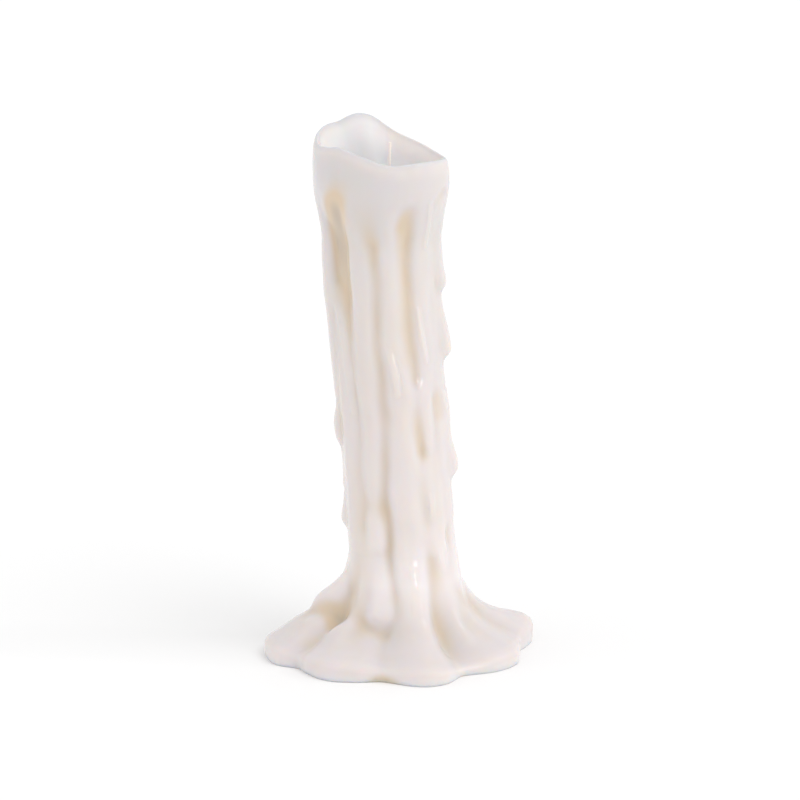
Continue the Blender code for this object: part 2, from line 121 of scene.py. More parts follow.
# The pool: (bearing, reach of its edge, height of the wax just inside the edge, share of the foot's
# height that the slope out to the edge takes up, how much that slope bulges, how steeply the rest of
# the height falls off at the pillar)
POOL = (
    (11, 50.5, 9.0, 0.18, 1.3, 3.0), (22, 49.5, 8.0, 0.18, 1.3, 3.1), (36, 43.0, 5.0, 0.12, 1.4, 4.0),
    (55, 48.5, 8.5, 0.18, 1.3, 3.3), (69, 50.6, 9.0, 0.18, 1.3, 3.4), (89, 48.6, 8.5, 0.24, 1.4, 3.6),
    (98, 52.4, 11.0, 0.16, 2.4, 2.6), (109, 57.0, 12.5, 0.10, 2.4, 2.7), (121, 52.0, 10.5, 0.18, 2.0, 4.2),
    (133, 45.0, 6.0, 0.20, 1.6, 5.6), (147, 50.0, 9.0, 0.30, 1.5, 5.6), (161, 43.0, 6.0, 0.20, 1.6, 5.6),
    (177, 49.0, 9.0, 0.28, 1.5, 5.6), (-168, 46.5, 8.0, 0.28, 1.5, 5.6), (-152, 41.5, 5.5, 0.15, 1.6, 5.6),
    (-134, 48.5, 9.0, 0.30, 1.5, 5.6), (-117, 46.0, 7.0, 0.30, 1.5, 5.6), (-104, 50.0, 8.5, 0.38, 1.4, 5.6),
    (-92, 54.6, 8.8, 0.44, 1.2, 4.6), (-78, 54.6, 8.8, 0.44, 1.2, 5.2), (-69, 53.4, 8.8, 0.36, 1.3, 5.0),
    (-60, 47.8, 7.8, 0.24, 1.4, 4.2), (-51, 48.6, 9.0, 0.22, 1.3, 3.8), (-36, 50.4, 9.5, 0.18, 1.3, 3.4),
    (-22, 47.0, 9.0, 0.18, 1.3, 3.2), (-9, 43.4, 7.5, 0.18, 1.4, 3.1),
)
FLARE = 0.75  # how soon that fall leaves the upright: below 1 it starts straight down

# Runs of wax, from where each starts to where it set: (level, bearing, half width, how far it stands out)
RUNS = {
    # left edge
    "left_edge": ((200, -94, 6.2, 3.6), (180, -92, 6.0, 4.4), (168, -88, 6.2, 4.2), (148, -84, 6.4, 3.8),
                  (120, -86, 6.4, 3.1), (105, -87, 6.0, 3.3), (97, -88, 5.2, 4.8), (91, -88, 4.8, 4.4)),
    "left_edge_low": ((90, -94, 6, 2.6), (75, -92, 6, 2.0), (64, -90, 5.6, 2.7), (57, -90, 5, 4.1)),
    "between_the_left_runs": ((152, -75, 6.0, 1.4), (120, -72, 6.4, 2.0), (90, -73, 6.4, 1.9),
                              (60, -74, 6.4, 1.8), (42, -74, 6.0, 1.2)),
    "left_side": ((150, -60, 6.4, 1.2), (130, -54, 7.6, 2.3), (100, -54, 8.0, 2.6), (70, -56, 8.0, 2.5),
                  (48, -58, 8.0, 2.2), (34, -60, 6.4, 1.0)),
    # front, left of the wick
    "front_left": ((190, -18, 9.0, 2.3), (173, -18, 9.0, 2.5), (156, -19, 8.8, 2.8), (143, -20, 8.2, 3.2),
                   (110, -22, 7.4, 3.5), (98, -22, 7.0, 3.4), (86, -24, 6.4, 3.3), (74, -26, 6.0, 3.0),
                   (66, -27, 5.8, 2.3), (58, -26, 5.6, 3.2), (51, -27, 5.0, 2.9)),
    "front_left_foot": ((45, -24, 4.0, 1.4), (38, -21, 4.4, 2.0), (34, -19, 4.8, 2.6), (27, -18, 5.2, 3.2),
                        (20, -17, 5.6, 4.0), (16, -17, 5.6, 4.2)),
    "beside_the_front_left_foot": ((52, -38, 5.0, 2.0), (40, -37, 5.6, 1.8), (28, -34, 6.0, 1.6),
                                   (18, -32, 6.4, 1.2)),
    # front, the longest run: it ends as the front lobe of the pool
    "front": ((190, 10, 8.8, 3.8), (176, 10, 8.6, 3.7), (143, 9, 8.6, 3.6), (123, 10, 8.8, 3.8),
              (107, 11, 8.8, 3.9), (86, 9, 8.6, 3.8), (70, 8, 8.4, 3.8), (53, 12, 8.4, 3.8),
              (37, 13, 7.8, 3.7), (24, 14, 7.4, 3.5), (10, 14, 8.0, 2.8), (-4, 13, 9.0, 1.8),
              (-14, 11, 9, 1.0)),
    # front, right of the wick
    "front_right": ((190, 46, 7.6, 3.8), (174, 45, 7.0, 3.6), (150, 42, 6.8, 3.5), (130, 42, 6.6, 3.6),
                    (120, 42, 6.0, 3.2), (108, 39, 5.4, 2.8), (98, 38, 5.0, 2.8), (90, 40, 4.6, 2.4)),
    "right_face": ((190, 68, 7.0, 3.4), (160, 67, 7.2, 2.8), (125, 65, 7.4, 2.7), (100, 66, 7.4, 2.6),
                   (80, 66, 7.4, 2.6), (60, 66, 7.4, 2.4)),
    "right_low": ((84, 43, 5.4, 2.4), (74, 42, 6.0, 3.0), (64, 43, 6.4, 3.2), (54, 46, 6.2, 3.0),
                  (47, 48, 5.6, 3.2), (41, 53, 5.0, 3.0)),
    "right_bridge": ((83, 31, 5.0, 2.7), (77, 31, 5.0, 2.7), (66, 30, 5.0, 2.3), (56, 31, 5.0, 2.4)),
    "right_fill": ((54, 34, 5.0, 2.6), (45, 37, 5.4, 2.5), (36, 39, 5.8, 2.4), (26, 42, 6.4, 2.2),
                   (16, 46, 7.0, 1.6)),
    "right_edge_fill": ((182, 79, 5.0, 2.2), (120, 79, 5.4, 2.2), (60, 79, 5.4, 2.2)),
    # right edge, three drops one under another
    "right_edge_top": ((190, 90, 6.6, 3.4), (176, 88, 6.4, 3.9), (163, 87, 6.2, 4.8), (155, 87, 5.6, 6.2)),
    "right_edge_middle": ((160, 86, 6, 3.0), (143, 87, 5.8, 4.4), (133, 87, 5.6, 5.9), (127, 87, 5.2, 6.4)),
    "right_edge_low": ((122, 86, 6, 2.0), (104, 87, 6, 3.0), (90, 87, 5.6, 3.4), (82, 87, 5.2, 5.0),
                       (78, 87, 4.8, 5.4)),
    "right_foot": ((62, 76, 6, 1.8), (50, 77, 6.4, 3.0), (40, 78, 6.6, 4.0), (28, 81, 7.0, 3.2),
                   (14, 90, 8.0, 1.4), (0, 100, 9, 0.6)),
    "front_right_foot": ((46, 52, 5.5, 2.8), (38, 56, 6.4, 2.6), (28, 60, 7.0, 2.2), (14, 61, 8.0, 1.3),
                         (0, 63, 8, 0.5)),
    "between_the_right_lobes": ((26, 72, 6.0, 1.0), (12, 78, 7.0, 1.8), (0, 83, 7.5, 1.8), (-10, 87, 8, 1.0)),
    # left feet
    "left_finger": ((32, -76, 4.4, 1.6), (24, -80, 5.0, 3.6), (14, -84, 5.2, 4.8), (7, -86, 4.8, 4.4)),
    "left_foot": ((-4, -84, 7, 0.8), (-12, -86, 8, 1.0)),
    "left_knob": ((13, -44, 4.0, 1.2), (6, -48, 4.6, 2.8), (0, -50, 5.0, 2.6), (-7, -49, 6.4, 1.0)),
    "left_nub": ((5, -70, 3.2, 1.2), (-1, -71, 3.8, 2.2), (-8, -70, 4.6, 1.0)),
    # back
    "back_right": ((190, 116, 7, 3.6), (160, 116, 6, 3.6), (120, 120, 5.8, 3.6), (98, 118, 5.4, 4.6),
                   (92, 118, 5, 4.6)),
    "back_right_low": ((96, 128, 5, 1.6), (70, 128, 5.6, 3.2), (44, 130, 5.6, 3.2), (22, 133, 6, 2.4),
                       (2, 140, 8, 1.8), (-12, 146, 9, 1.0)),
    "back_middle": ((190, 150, 7, 3.6), (165, 150, 6, 3.7), (110, 151, 5.8, 3.4), (60, 154, 5.6, 3.6),
                    (36, 156, 5.4, 4.0), (26, 158, 5.2, 4.2)),
    "back": ((190, -176, 7, 3.6), (170, -176, 6.2, 3.6), (140, -178, 6, 3.8), (128, -178, 5.4, 4.8),
             (122, -178, 5, 4.8)),
    "back_low": ((122, -170, 5, 1.8), (80, -172, 5.8, 3.2), (48, -172, 5.8, 3.8), (26, -174, 6, 3.4),
                 (4, -178, 8, 2.2), (-10, 178, 9, 1.0)),
    "back_left": ((190, -146, 7, 3.8), (160, -146, 6.2, 3.8), (120, -148, 6, 3.5), (70, -146, 5.8, 3.6),
                  (36, -142, 6, 3.6), (14, -138, 7, 2.8), (-6, -135, 9, 1.4)),
    "left_back": ((190, -114, 7, 3.6), (165, -114, 6.2, 3.6), (120, -112, 5.8, 3.3), (84, -114, 5.6, 3.8),
                  (68, -114, 5, 4.6)),
    "left_back_low": ((70, -106, 5, 0.8), (44, -108, 5.6, 1.6), (24, -106, 6.4, 1.4), (4, -102, 8, 1.0)),
}

# Hollows, given as the runs are, with how deep each goes
HOLLOWS = {
    "left_arch": ((192, -43, 4.6, 0.5), (187, -50, 5.6, 1.0), (181, -55, 6.6, 1.2), (175, -57, 6.8, 1.2),
                  (169, -56, 6.8, 1.1), (162, -54, 6.8, 1.1), (154, -51, 6.6, 1.0), (146, -47, 5.6, 0.7),
                  (138, -44, 4.2, 0.4)),
    "left_crease": ((114, -40, 2.2, 0.3), (104, -40, 2.2, 0.3)),
    "above_the_front_groove": ((193, -15, 4.4, 0.2), (184, -13, 5.4, 0.5), (175, -9, 4.6, 0.6)),
    "front_groove": ((172, -7, 2.4, 0.7), (165, -6, 2.8, 1.2), (150, -5, 2.8, 1.3), (142, -7, 2.6, 1.3),
                     (134, -9, 2.4, 1.2), (118, -8, 2.6, 1.1), (110, -9, 3.2, 1.0), (104, -6, 4.2, 0.9),
                     (99, -6, 4.0, 0.7), (94, -8, 3.4, 0.7), (86, -12, 3.0, 0.8), (70, -15, 3.4, 0.7),
                     (63, -15, 4.0, 0.6), (58, -13, 4.4, 0.5), (50, -9, 3.8, 0.5), (42, -7, 3.0, 0.3)),
    "right_groove": ((187, 25, 4.0, 0.9), (181, 24, 5.0, 1.3), (172, 25, 5.0, 1.2), (165, 26, 5.0, 1.1),
                     (150, 26, 5.0, 1.1), (134, 26, 4.6, 0.9), (126, 26, 4.4, 0.9), (118, 28, 3.8, 0.9)),
    "right_groove_arm": ((186, 19, 3.0, 0.4), (180, 17, 3.0, 0.4)),
    "right_groove_middle": ((105, 25, 3.4, 0.5), (99, 25, 4.0, 0.7), (90, 28, 3.8, 0.7), (84, 30, 3.0, 0.4)),
    "right_groove_low": ((76, 28, 3.0, 0.2), (68, 27, 3.6, 0.3), (61, 28, 3.6, 0.3), (56, 31, 3.0, 0.1)),
    "beside_the_third_run": ((142, 46, 1.2, 0.4), (131, 47, 1.4, 0.5), (124, 47, 1.2, 0.4)),
    "under_the_lip": ((189, 55, 3.0, 0.6), (191, 66, 3.4, 1.0)),
    "under_the_top_drop": ((154, 73, 3.4, 0.4), (151, 73, 3.0, 0.3)),
    "right_oval": ((109, 58, 4.4, 0.7), (102, 60, 4.4, 0.7)),
    "under_the_finger": ((16, -66, 3.0, 0.8), (12, -71, 3.2, 1.6), (7, -76, 3.2, 1.4), (3, -80, 2.8, 0.6)),
    "left_pit": ((13, -57, 3.6, 1.0), (9, -60, 4.0, 2.2), (5, -61, 3.8, 1.8), (0, -62, 3.2, 0.6)),
    "beside_the_foot": ((13, -37, 3.6, 0.5), (9.5, -32, 4.0, 0.8), (7.5, -23, 4.0, 0.8),
                        (6.5, -13, 4.0, 0.8)),
    "right_pit": ((16, 36, 4.6, 0.2), (6, 38, 5.0, 0.4), (-6, 40, 4.4, 0.4)),
    "right_foot_crease": ((27, 68, 1.8, 0.4), (22, 71, 2.0, 0.6), (17, 75, 1.8, 0.4)),
}

# Thin threads that ran down over the runs, and a broad low one that ran into the pit at the right of
# the foot, given as the runs are
THREADS = {
    "left": ((149, -71, 2.0, 0.1), (144, -60, 2.6, 0.25), (136, -53, 2.8, 0.3), (129, -49, 2.8, 0.3),
             (121, -47, 2.8, 0.3), (112, -45, 2.6, 0.25), (104, -45, 2.2, 0.2)),
    "front": ((130, 2, 1.6, 0.2), (126, 4, 1.7, 0.55), (120, 6, 1.7, 0.55), (113, 8, 1.5, 0.35)),
    "front_right_top": ((189, 47, 1.6, 0.3), (180, 49, 1.6, 0.4), (172, 49, 1.6, 0.3)),
    "front_right": ((146, 37, 1.2, 0.3), (139, 38, 1.3, 0.45), (132, 41, 1.3, 0.45), (125, 43, 1.2, 0.4)),
    "right": ((110, 71, 1.8, 0.4), (104, 74, 1.8, 0.4)),
    "front_foot": ((41, 12, 1.6, 0.1), (38, 13, 1.7, 0.3), (34, 13, 1.6, 0.1)),
    "front_foot_low": ((25, 14, 1.8, 0.1), (20, 14, 1.8, 0.25), (15, 14, 1.8, 0.1)),
    "right_low": ((70, 36, 1.4, 0.15), (66, 36, 1.5, 0.35), (62, 37, 1.4, 0.15)),
    "into_the_right_pit": ((17, 44, 6.0, 0.1), (11, 43, 6.0, 0.9), (4, 42, 6.0, 0.9), (-4, 42, 6.0, 0.4)),
    "right_low_foot": ((47, 45, 1.5, 0.2), (43, 47, 1.7, 0.45), (38, 51, 1.5, 0.2)),
}

# Where beige painted shade is laid on, in hollows, creases and under ledges, given as the runs are, with how
# much
BEIGE_SHADE_PLACES = {
    "left_arch": ((202, -38, 5.0, 0.02), (195, -43, 5.4, 0.13), (189, -49, 5.8, 0.36), (184, -53, 6.0, 0.45),
                  (179, -58, 5.8, 0.45), (174, -60, 5.6, 0.41), (168, -57, 5.6, 0.38), (162, -54, 5.6, 0.34),
                  (155, -51, 5.2, 0.20), (147, -46, 4.8, 0.12), (134, -42, 4.2, 0.06), (124, -41, 4.0, 0.02)),
    "left_arch_shelf": ((197, -38, 5.6, 0.08), (188, -42, 6.0, 0.14), (176, -40, 6.0, 0.14),
                        (162, -35, 4.6, 0.06)),
    "left_edge": ((140, -69, 3.8, 0.03), (122, -63, 3.8, 0.05), (111, -64, 3.8, 0.10), (103, -66, 3.8, 0.12),
                  (94, -70, 3.8, 0.08)),
    "above_the_front_groove": ((190, -14, 5.0, 0.02), (176, -11, 5.0, 0.06), (168, -8, 4.0, 0.08)),
    "left_low": ((92, -46, 5.0, 0.03), (80, -49, 5.4, 0.06), (62, -49, 6.0, 0.09), (48, -49, 5.6, 0.08),
                 (30, -46, 6.0, 0.08), (16, -40, 6.0, 0.06)),
    "neck": ((67, -28, 5.0, 0.06), (63, -28, 5.4, 0.08)),
    "front_low": ((66, -14, 3.6, 0.06), (58, -12, 3.8, 0.05)),
    "flank_of_the_front": ((178, 18, 4.0, 0.06), (150, 18, 5.0, 0.08), (126, 18, 5.0, 0.07)),
    "right_groove_top": ((188, 22, 3.4, 0.02), (183, 22, 4.2, 0.09), (177, 22, 4.4, 0.05)),
    "right_groove_middle": ((104, 26, 3.0, 0.04), (96, 27, 3.6, 0.12), (87, 29, 3.4, 0.08)),
    "right_oval": ((109, 58, 4.8, 0.05), (102, 60, 4.8, 0.06)),
    "foot_of_the_right": ((44, 36, 3.4, 0.07), (34, 38, 4.0, 0.08), (24, 42, 5.0, 0.03)),
    "finger": ((20, -75, 5.0, 0.05), (12, -77, 5.0, 0.15), (5, -80, 5.0, 0.12)),
    "under_the_lip": ((191, 60, 4.0, 0.04),),
    "between_the_front_lobes": ((-20, -9, 3.0, 0.1), (-24, -9, 3.4, 0.4), (-30, -9, 3.4, 0.4)),
}

# Where less of the beige painted shade is laid in a hollow, given as the runs are, with how much
SHADE_TAKEN_OFF = {
    "front_low": ((44, -7, 3.6, 0.03), (34, -4, 3.4, 0.05), (28, -2, 3.2, 0.03)),
    "right_pit": ((4, 40, 5.0, 0.05), (-2, 41, 6.0, 0.11), (-8, 41, 6.0, 0.10)),
    "under_the_bead": ((12, -12, 5.0, 0.04), (4, -9, 6.5, 0.13), (-5, -6, 6.0, 0.08)),
}

STREAK_WIDTH, STREAK_LENGTH = 9.0, 34.0  # of the cooler and warmer streaks in the wax, mm

# The wax's colour at some heights, mm: lightest at the table, painted light that takes away the shade at the
# pool's edge, lighter at the foot of the pillar and greyer towards the head
SKIN_COLOURS = ((0, "#e6dfe1"), (5, "#d9d2d4"), (18, "#d8d1d3"), (34, "#e6e0e3"), (60, "#dfd8d9"),
                (110, "#dcd5d6"), (150, "#dad4d5"), (172, "#d8d3d4"), (192, "#d6d1d3"), (206, "#d2d0d3"),
                (218, "#d2d0d3"))
SMOKED_FROM, SMOKED_BY = 165.0, 195.0  # the heights over which the flame has taken the gloss off

# How the skin's own ripples run: (their length in mm, how far they stand out)
RIPPLES = ((22.0, 0.32), (9.0, 0.14), (4.0, 0.05))
RIPPLES_FROM, RIPPLES_GROW_OVER = 1.5, 5.0  # mm above the table
RIPPLES_CLEAR_OF_THE_WICK = 3.0  # mm

# Hollow shade: how deep a place lies between its neighbours, which sets how much beige painted shade it gets
SHELTER_SPAN = 4.5  # mm over which the skin's hollows are told from its ridges
SHELTER_ROWS = 5  # the same up and down, in rows
SUNK_SHADE = 0.06  # what each mm of a hollow's depth adds to the hollow shade, as painted shade
BEIGE_FROM, BEIGE_BY = -0.05, 0.27  # the hollow shade over which the wax is painted from white to beige, painted shade
DEEPEST_SHADE_FROM, DEEPEST_SHADE_BY = 0.3, 0.8  # the hollow shade over which the beige painted shade turns greyer, in the deepest places

# Rows over the rim, as shares of the way from the shoulder to the crater's floor
BEIGE_UP_TO = 0.3  # further on there is no beige
CREST_AT, CREST_WIDTH = 0.50, 0.18  # the crest of the rim, and how far it reaches to each side
CRATER_LIGHT_WITHIN = 1 / 12  # past the crest, the share over which the wax is painted the crater's white, painted light
FADES_FROM, FADES_OVER, FADES_BY = 0.22, 0.2, 0.1  # where past the crest that painted white fades, how much

FLOOR_REACH = 4.0  # m from the middle to each side
FLOOR_BELOW = 0.03  # mm under the candle, so that the two faces don't lie in one plane

# The lamps: name, bearing, elevation, width in degrees, strength, whether the wax mirrors them
LAMPS = (
    ("softbox", 52, 54, 36, 0.75, False),
    ("window", 85, 32, 8, 0.18, True),
    ("strip", 36, 3, 10, 0.28, True),
    ("bounce", -75, 11, 60, 0.35, False),
)
TENT_STRENGTH = 0.875

CAMERA_ELEVATION = 14  # degrees
CAMERA_AWAY, CAMERA_AIM = 2.2, 0.105  # m to what it looks at, and how high that is
LENS, SENSOR = 247.5, 36  # mm


# A place of the skin: its reach and height bare, which way its relief goes, and the relief, the threads,
# the hollows and the beige painted shade there
Spot = collections.namedtuple("Spot", "reach height out up relief thread sunk beige", defaults=(0.0,) * 6)
Relief = collections.namedtuple("Relief", "standing sunk thread beige")


def smooth_values(stations, at):
    """Each value at that place, on smooth curves through stations of (place, value, value...) that rise."""
    if at <= stations[0][0]:
        return stations[0][1:]
    if at >= stations[-1][0]:
        return stations[-1][1:]
    n = next(k for k, station in enumerate(stations) if station[0] > at) - 1
    here, after = stations[n], stations[n + 1]
    before = stations[n - 1] if n > 0 else here
    beyond = stations[n + 2] if n + 2 < len(stations) else after
    length = after[0] - here[0]
    share = (at - here[0]) / length
    values = []
    for a, b, c, d in zip(before[1:], here[1:], after[1:], beyond[1:]):
        start = (c - a) / (after[0] - before[0]) * length
        end = (d - b) / (beyond[0] - here[0]) * length
        values.append(
            b
            + share * start
            + share**2 * (3 * (c - b) - 2 * start - end)
            + share**3 * (2 * (b - c) + start + end)
        )
    return values


def round_the_candle(stations):
    """Stations of (bearing, value...) in rising order and repeated past both ends, so that they close."""
    once = sorted((station[0] % 360, *station[1:]) for station in stations)
    return [(station[0] + turn, *station[1:]) for turn in (-360, 0, 360) for station in once]


def falling(run):
    """A run's stations in rising order of level, with its bearings unbroken across the back."""
    stations = []
    for level, bearing, half_width, height in sorted(run):
        if stations:
            bearing += 360 * round((stations[-1][1] - bearing) / 360)
        stations.append((level, bearing, half_width, height))
    return stations


SHAPES = [[falling(run) for run in table.values()] for table in (RUNS, HOLLOWS, THREADS, BEIGE_SHADE_PLACES, SHADE_TAKEN_OFF)]
RIM_ROUND = round_the_candle(RIM)
POOL_ROUND = round_the_candle(POOL)
BURNED_ROUND = round_the_candle(BURNED_OUT)


def ease(share):
    """0 up to a share of 0, 1 from a share of 1, and a gentle rise between."""
    share = min(1.0, max(0.0, share))
    return share * share * (3 - 2 * share)


def axis_x(height):
    """Where the leaning candle's axis is at this height."""
    return LEAN * ease((height - LEAN_FROM) / (LEAN_TO - LEAN_FROM))


def wavering(level, bearing):
    """The bearing at which to look for the runs here, because none ran quite straight."""
    turn = math.radians(bearing)
    spot = Vector((level / WAVER_LENGTH, WAVER_ROUND * math.sin(turn), WAVER_ROUND * math.cos(turn)))
    return bearing + WAVER * noise.noise(spot)


@functools.lru_cache(maxsize=4)
def present(level):
    """The runs, hollows, threads, and the places with more and with less beige painted shade that reach this
    level, as lists of (bearing, half width, height, how far past its end)."""
    all_kinds = []
    for kind in SHAPES:
        found = []
        for number, stations in enumerate(kind):
            lowest, highest = stations[0], stations[-1]
            if lowest[0] - lowest[2] < level < highest[0] + highest[2]:
                middle, half_width, height = smooth_values(stations, level)
                spot = Vector((level / WAVER_LENGTH, SWELLINGS_APART * number, OFF_THE_LATTICE))
                height *= 1 + SWELLING * noise.noise(spot)
                past_the_end = max(lowest[0] - level, level - highest[0], 0.0) / half_width
                found.append((middle, half_width, height, past_the_end))
        all_kinds.append(found)
    return all_kinds


def height_of(run, bearing):
    """How far one run stands out at this place: a round back, with a rounded end above and below."""
    middle, half_width, height, past_the_end = run
    turn = (bearing - middle + 180) % 360 - 180
    across = math.radians(turn) * CORE_REACH / half_width
    return height * ease(1 - across**2 - past_the_end**2) ** FULLNESS


def relief_at(level, bearing):
    """How far the runs stand out of the bare wax here, how deep the hollows are, how high the threads,
    and how much beige painted shade the wax gets, less what is taken off in some hollows."""
    at = wavering(level, bearing)
    runs, *rest = present(level)
    standing = sum(height_of(run, at) ** MERGING for run in runs) ** (1 / MERGING)
    sunk, thread, beige, less_shade = (sum(height_of(one, at) for one in kind) for kind in rest)
    return Relief(standing, sunk, thread, beige - less_shade)


def pillar_reach(height):
    """How far the bare pillar reaches from the axis: it swells into the head."""
    return CORE_REACH + (HEAD_REACH - CORE_REACH) * ease((height - HEAD_FROM) / (HEAD_TO - HEAD_FROM))


def on_the_pillar(height, bearing):
    """On the pillar. Its relief fades where it swells into the head."""
    bare = pillar_reach(height)
    clear_of_the_head = 1 - (bare - CORE_REACH) / (HEAD_REACH - CORE_REACH)
    standing, sunk, thread, beige = relief_at(height, bearing)
    return Spot(bare, height, 1.0, 0.0, standing * clear_of_the_head - sunk, thread, sunk, beige)


def pool_edge(share, bearing):
    """Reach and height round the edge of the pool: share 0 is on the table, and at 1 the slope begins."""
    reach, thickness, sloping, bulge, _ = smooth_values(POOL_ROUND, bearing % 360)
    rise = bulge * sloping * (FOOT_HEIGHT - thickness) / (reach - LOBE_ROUNDING / 2 - CORE_REACH)
    last_turn = math.atan2(thickness / 2, LOBE_ROUNDING * rise)
    turn = -math.pi / 2 + (last_turn + math.pi / 2) * share
    inwards = LOBE_UNDERCUT if turn < 0 else LOBE_ROUNDING
    return reach - inwards * (1 - math.cos(turn)), thickness / 2 * (1 + math.sin(turn))


def at_the_edge(share, bearing):
    """On the edge of the pool, which has no relief, with its beige painted shade."""
    reach, height = pool_edge(share, bearing)
    return Spot(reach, height, beige=relief_at(height - (reach - CORE_REACH), bearing).beige)


def on_the_slope(share, bearing):
    """On the wax between the pool's edge, share 0, and the foot of the pillar, share 1."""
    sloping, bulge, power = smooth_values(POOL_ROUND, bearing % 360)[2:]
    edge, thickness = pool_edge(1.0, bearing)
    width, fall = edge - CORE_REACH, FOOT_HEIGHT - thickness
    out = max((1 - share) ** 2, 1e-6)
    left = 1 - out**FLARE
    height = thickness + fall * (sloping * (1 - out**bulge) + (1 - sloping) * left**power)
    slope = sloping * bulge * out ** (bulge - 1)
    slope += (1 - sloping) * power * left ** (power - 1) * FLARE * out ** (FLARE - 1)
    slope *= fall / width
    level = height - width * out
    coming_up = ease(share / RELIEF_COMES_UP)
    standing, sunk, thread, beige = (value * coming_up for value in relief_at(level, bearing))
    length = math.hypot(slope, 1)
    up = ease(out / RELIEF_TURNS_UP) / length
    return Spot(CORE_REACH + width * out, height, slope / length, up, standing - sunk, thread, sunk, beige)


def over_the_rim(share, bearing):
    """From the shoulder, share 0, over the rim and down the crater to its floor, share 1."""
    rim = smooth_values(RIM_ROUND, bearing % 360)[0]
    at, climbed = UP_THE_HEAD
    section = [(0.0, 1.0, SHOULDER_HEIGHT), (at, 1.0, SHOULDER_HEIGHT + climbed * (rim - SHOULDER_HEIGHT))]
    section += [(at, reach, rim - drop) for at, reach, drop in OVER_THE_RIM]
    at, reach, left = ABOVE_THE_FLOOR
    section += [(at, reach, CRATER_FLOOR + left * (rim - CRATER_FLOOR)), (1.0, CRATER_REACH, CRATER_FLOOR)]
    reach, height = smooth_values(section, share)
    burned = smooth_values(BURNED_ROUND, bearing % 360)[0]
    shoulder = HEAD_REACH - relief_at(SHOULDER_HEIGHT, bearing).sunk
    beige = relief_at(height, bearing).beige if share < BEIGE_UP_TO else 0.0
    burning = ease((share - BURNED_FROM) / (BURNED_BY - BURNED_FROM))
    return Spot(shoulder * reach * (1 + (burned - 1) * burning), height, beige=beige)


def place(height, bearing, reach):
    """A point in metres from its place on the candle."""
    turn = math.radians(bearing)
    return Vector((axis_x(height) + reach * math.sin(turn), -reach * math.cos(turn), height)) * MM


def wick_centre(height):
    """The middle of the wick, which crosses from the axis to its right as it rises."""
    return place(height, 90, WICK_ASIDE * height / WICK_TOP)


def softened(rows):
    """The relief of one stretch of rows, melted into its neighbours all round and up and down."""
    for turn in range(SOFTENINGS):
        rows = [
            [(a + 2 * b + c) / 4 for a, b, c in zip(row[-1:] + row, row, row[1:] + row[:1])]
            for row in rows
        ]
        if turn % SOFTENINGS_BETWEEN == 0:
            inner = [
                [(a + 2 * b + c) / 4 for a, b, c in zip(below, row, above)]
                for below, row, above in zip(rows, rows[1:], rows[2:])
            ]
            rows = [rows[0], *inner, rows[-1]]
    return rows


def rippled(point):
    """The gentle unevenness of wax that set while it ran."""
    return sum(height * noise.noise(point / (length * MM)) for length, height in RIPPLES)


def skin_of(stretch, bearings):
    """One stretch of the skin, given as (shape, place on it): its rows of points and of their tint, the beige
    painted shade of its hollows.
    """
    bare = [[shape(at, bearing) for bearing in bearings] for shape, at in stretch]
    relief = softened([[spot.relief for spot in row] for row in bare])
    points = []
    for spots, heights in zip(bare, relief):
        row = []
        for bearing, spot, stands in zip(bearings, spots, heights):
            stands += spot.thread
            row.append(place(spot.height + spot.up * stands, bearing, spot.reach + spot.out * stands))
        points.append(row)
    # The tint is painted shade: more beige the deeper the hollow, and in the beige places
    return points, softened([[SUNK_SHADE * spot.sunk + spot.beige for spot in row] for row in bare])


def meniscus_and_bore(bearings):
    """The wax that climbs the wick a little, and the bore that the wick goes down."""
    rows = [round_the_wick(CRATER_FLOOR + climb, reach, bearings) for reach, climb in MENISCUS]
    rows += [
        round_the_wick((CRATER_FLOOR + BORE_MOUTH) * (1 - k / BORE_ROWS), BORE_REACH, bearings)
        for k in range(BORE_ROWS + 1)
    ]
    return rows


def round_the_wick(height, reach, bearings):
    """A level ring of points at this reach from the middle of the wick."""
    middle = wick_centre(height)
    ring = []
    for bearing in bearings:
        turn = math.radians(bearing)
        ring.append(middle + Vector((math.sin(turn), -math.cos(turn), 0)) * reach * MM)
    return ring


def wax_rows():
    """The whole skin from its underside over the rim to the bore's lower end, and each point's tint."""
    bearings = [360 * k / POINTS_ROUND for k in range(POINTS_ROUND)]
    step = (SHOULDER_HEIGHT - FOOT_HEIGHT) / PILLAR_ROWS
    edge = [(at_the_edge, k / EDGE_ROWS) for k in range(EDGE_ROWS)]
    sides = [(on_the_slope, k / SLOPE_ROWS) for k in range(SLOPE_ROWS)]
    sides += [(on_the_pillar, FOOT_HEIGHT + step * k) for k in range(PILLAR_ROWS)]
    rim = [(over_the_rim, k / RIM_ROWS) for k in range(RIM_ROWS + 1)]
    bore = meniscus_and_bore(bearings)
    points, tint = [], []
    for stretch in (edge, sides, rim):
        more_points, more_tint = skin_of(stretch, bearings)
        points += more_points
        tint += more_tint
    return points + bore, tint + [[0.0] * POINTS_ROUND for _ in bore]


def normal_at(rows, r, k):
    """Which way the skin faces at one of its points, from the four points beside it."""
    low, high = rows[max(r - 1, 0)][k], rows[min(r + 1, len(rows) - 1)][k]
    left, right = rows[r][k - 1], rows[r][(k + 1) % POINTS_ROUND]
    return (right - left).cross(high - low).normalized()


